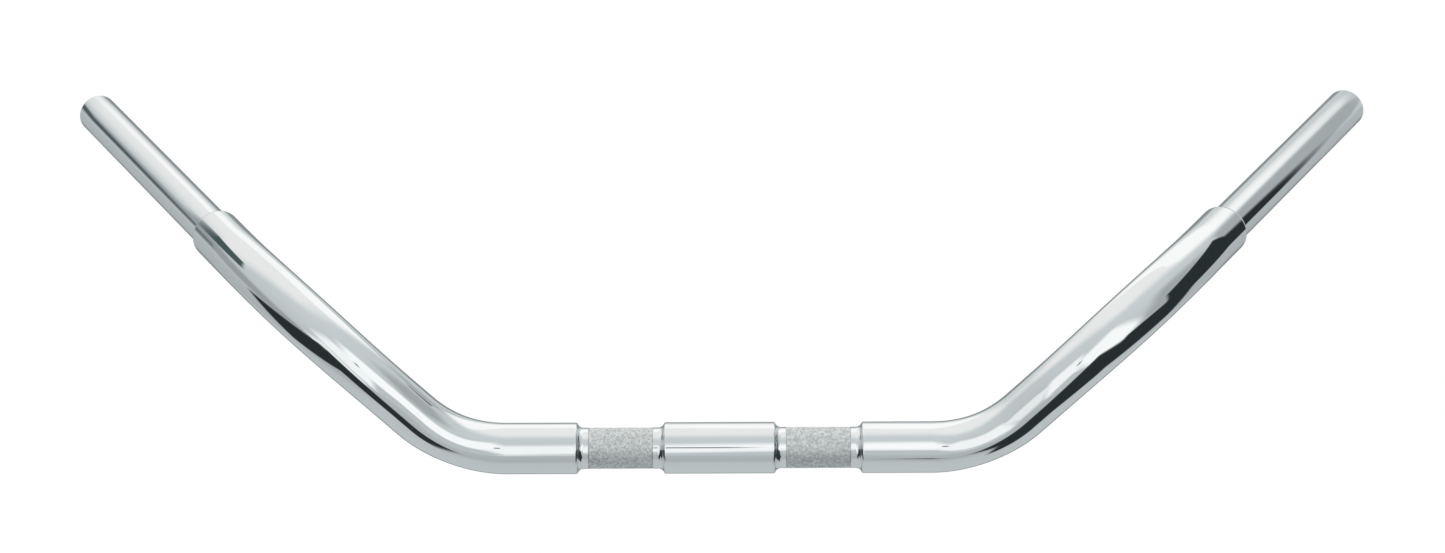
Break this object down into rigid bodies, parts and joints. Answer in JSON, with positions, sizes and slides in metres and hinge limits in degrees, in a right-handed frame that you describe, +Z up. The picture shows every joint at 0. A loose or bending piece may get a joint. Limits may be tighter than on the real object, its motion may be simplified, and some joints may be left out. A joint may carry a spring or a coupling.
{
  "type": "motorcycle handlebar",
  "caption": "Wide chromed motorcycle handlebar: large tube stepped down to knurled riser clamp zones and slim grips, rising gently and sweeping back to the rider.",
  "frame": {"origin": "on the clamp tube's axis, halfway between the two riser clamp zones", "axes": "+X along the clamp tube towards the rider's left hand, +Y back towards the rider, +Z up with the arms rising upright and the grips level"},
  "size_m": [0.8558, 0.3185, 0.1304],
  "materials": {
    "tube_chrome": "polished bright chrome",
    "knurled_chrome": "chrome over diamond knurling between polished margins",
    "weld_chrome": "bright chrome over hand-dressed weld"
  },
  "bodies": {
    "root": {"clamp_tube": "knurled_chrome", "centre_sleeve": "tube_chrome", "sleeve_weld_left": "weld_chrome", "arm_weld_left": "weld_chrome", "arm_tube_left": "tube_chrome", "grip_weld_left": "weld_chrome", "grip_tube_left": "tube_chrome", "sleeve_weld_right": "weld_chrome", "arm_weld_right": "weld_chrome", "arm_tube_right": "tube_chrome", "grip_weld_right": "weld_chrome", "grip_tube_right": "tube_chrome"}
  },
  "joints": []
}
